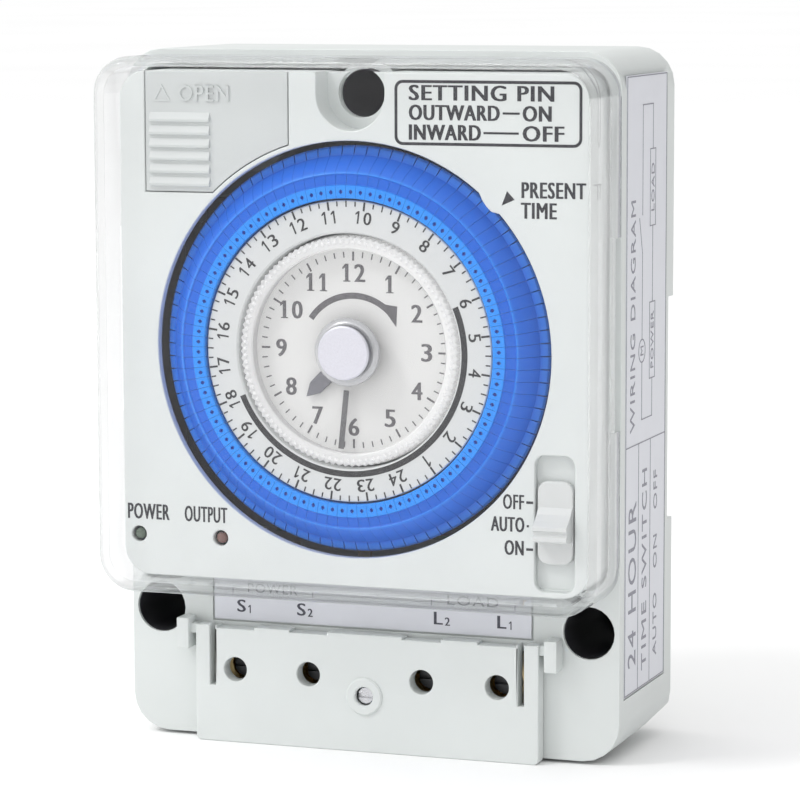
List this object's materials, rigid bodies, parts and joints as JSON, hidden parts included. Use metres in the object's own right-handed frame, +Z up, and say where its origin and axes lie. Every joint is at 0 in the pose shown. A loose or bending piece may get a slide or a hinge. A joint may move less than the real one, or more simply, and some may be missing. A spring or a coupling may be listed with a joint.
{
  "type": "mechanical time switch",
  "caption": "Twenty-four hour mechanical time switch with a tripper dial, mode slider, clear cover and screw terminals, for DIN rail or wall.",
  "frame": {"origin": "centre of the seat that rests on the DIN rail", "axes": "+X right and +Z up as the user faces the dial, +Y back towards the wall"},
  "size_m": [0.082, 0.0434, 0.1105],
  "materials": {
    "grey_abs": "satin",
    "clear_cover": "clear, polished",
    "clear_disc": "clear, polished",
    "white": "satin",
    "blue": "semi-gloss",
    "knob_silver": "fine brushed",
    "steel": "brushed",
    "brass": "bright",
    "acetal": "satin",
    "dark_plastic": "matte",
    "board_green": "satin",
    "copper_wire": "enamelled",
    "capacitor_red": "gloss",
    "lamp_green": "clear tinted",
    "lamp_red": "clear tinted",
    "label_film": "satin film",
    "battery_sleeve": "shrink sleeve",
    "hand_grey": "matte"
  },
  "bodies": {
    "case": {"rear_housing": "grey_abs", "front_panel": "grey_abs", "movement_front_plate": "acetal", "movement_back_plate": "acetal", "plate_screw_1": "steel", "plate_screw_2": "steel", "case_screw_1": "steel", "case_screw_2": "steel", "case_screw_3": "steel", "case_screw_4": "steel", "terminal_s1": "brass", "terminal_s2": "brass", "terminal_l2": "brass", "terminal_l1": "brass", "clamp_screw_s1": "steel", "clamp_screw_s2": "steel", "clamp_screw_l2": "steel", "clamp_screw_l1": "steel", "motor_can": "steel", "motor_coil": "copper_wire", "clock_face": "white", "microswitch": "dark_plastic", "mode_switch": "dark_plastic", "circuit_board": "board_green", "dropper_capacitor": "capacitor_red", "lamp_board": "board_green", "power_lamp": "lamp_green", "output_lamp": "lamp_red", "terminal_label": "label_film", "side_label": "label_film", "battery_cup": "white", "backup_battery": "battery_sleeve"},
    "dial_cover": {"dial_cover": "clear_cover"},
    "battery_door": {"battery_door": "grey_abs"},
    "terminal_cover": {"terminal_cover": "grey_abs", "terminal_cover_screw": "steel"},
    "rail_clip": {"rail_clip": "grey_abs"},
    "day_dial": {"day_dial": "white", "dial_gear": "acetal", "tripper_ring": "blue"},
    "hour_hand": {"hour_hand": "hand_grey", "hour_wheel": "acetal"},
    "minute_hand": {"minute_disc": "clear_disc", "set_knob": "knob_silver", "centre_arbor": "steel", "centre_wheel": "acetal"},
    "minute_wheel": {"minute_wheel": "acetal"},
    "dial_drive": {"dial_drive_wheel": "acetal", "dial_drive_pinion": "acetal"},
    "motor_rotor": {"motor_rotor": "dark_plastic"},
    "follower_lever": {"follower_lever": "acetal"},
    "switch_plunger": {"switch_plunger": "lamp_red"},
    "mode_slider": {"mode_slider": "white"},
    "tripper_1": {"tripper_1": "blue"},
    "tripper_2": {"tripper_2": "blue"},
    "tripper_3": {"tripper_3": "blue"},
    "tripper_4": {"tripper_4": "blue"},
    "tripper_5": {"tripper_5": "blue"},
    "tripper_6": {"tripper_6": "blue"}
  },
  "joints": [
    {"name": "dial_spin", "type": "hinge", "parent": "case", "child": "day_dial", "pos_m": [0, -0.0324, 0.0114], "axis": [0, 1, 0], "continuous": true},
    {"name": "hour_hand_spin", "type": "hinge", "parent": "case", "child": "hour_hand", "pos_m": [0, -0.0248, 0.0114], "axis": [0, 1, 0], "continuous": true},
    {"name": "minute_hand_spin", "type": "hinge", "parent": "case", "child": "minute_hand", "pos_m": [0, -0.018, 0.0114], "axis": [0, 1, 0], "continuous": true},
    {"name": "minute_wheel_spin", "type": "hinge", "parent": "case", "child": "minute_wheel", "pos_m": [0.00983, -0.0204, 0.00452], "axis": [0, 1, 0], "continuous": true},
    {"name": "dial_drive_spin", "type": "hinge", "parent": "case", "child": "dial_drive", "pos_m": [-0.01329, -0.0234, 0.00906], "axis": [0, 1, 0], "continuous": true},
    {"name": "motor_spin", "type": "hinge", "parent": "case", "child": "motor_rotor", "pos_m": [-0.00208, -0.0139, 0.02322], "axis": [0, 1, 0], "continuous": true},
    {"name": "tripper_1_slide", "type": "slide", "parent": "day_dial", "child": "tripper_1", "axis": [0.9866, 0, 0.1629], "range_m": [0, 0.0012]},
    {"name": "tripper_2_slide", "type": "slide", "parent": "day_dial", "child": "tripper_2", "axis": [0.4127, 0, 0.9109], "range_m": [0, 0.0012]},
    {"name": "tripper_3_slide", "type": "slide", "parent": "day_dial", "child": "tripper_3", "axis": [-0.8492, 0, 0.5281], "range_m": [0, 0.0012]},
    {"name": "tripper_4_slide", "type": "slide", "parent": "day_dial", "child": "tripper_4", "axis": [-0.9569, 0, -0.2903], "range_m": [0, 0.0012]},
    {"name": "tripper_5_slide", "type": "slide", "parent": "day_dial", "child": "tripper_5", "axis": [0.1629, 0, -0.9866], "range_m": [0, 0.0012]},
    {"name": "tripper_6_slide", "type": "slide", "parent": "day_dial", "child": "tripper_6", "axis": [0.9109, 0, -0.4127], "range_m": [0, 0.0012]},
    {"name": "follower_lever_turn", "type": "hinge", "parent": "case", "child": "follower_lever", "pos_m": [0.0181, -0.0324, 0.0446], "axis": [0, -1, 0], "range_deg": [0, 6.5], "stiffness_Nm_per_rad": 0.002},
    {"name": "plunger_press", "type": "slide", "parent": "case", "child": "switch_plunger", "axis": [1, 0, 0], "range_m": [0, 0.0007]},
    {"name": "mode_slide", "type": "slide", "parent": "case", "child": "mode_slider", "axis": [0, 0, 1], "range_m": [-0.0036, 0.0036]},
    {"name": "cover_pull", "type": "slide", "parent": "case", "child": "dial_cover", "axis": [0, -1, 0], "range_m": [0, 0.12]},
    {"name": "battery_door_slide", "type": "slide", "parent": "case", "child": "battery_door", "axis": [0, 0, 1], "range_m": [0, 0.0096]},
    {"name": "terminal_cover_pull", "type": "slide", "parent": "case", "child": "terminal_cover", "axis": [0, -1, 0], "range_m": [0, 0.04]},
    {"name": "rail_clip_slide", "type": "slide", "parent": "case", "child": "rail_clip", "axis": [0, 0, -1], "range_m": [0, 0.004], "stiffness_N_per_m": 400}
  ],
  "couplings": [
    {"joint": "hour_hand_spin", "follows": "dial_spin", "ratio": 2},
    {"joint": "minute_hand_spin", "follows": "dial_spin", "ratio": 24},
    {"joint": "minute_wheel_spin", "follows": "dial_spin", "ratio": -6},
    {"joint": "dial_drive_spin", "follows": "dial_spin", "ratio": -1},
    {"joint": "motor_spin", "follows": "dial_spin", "ratio": -72},
    {"joint": "plunger_press", "follows": "follower_lever_turn", "m_per_rad": 0.0061},
    {"joint": "battery_door_slide", "follows": "cover_pull", "ratio": 0.08}
  ]
}
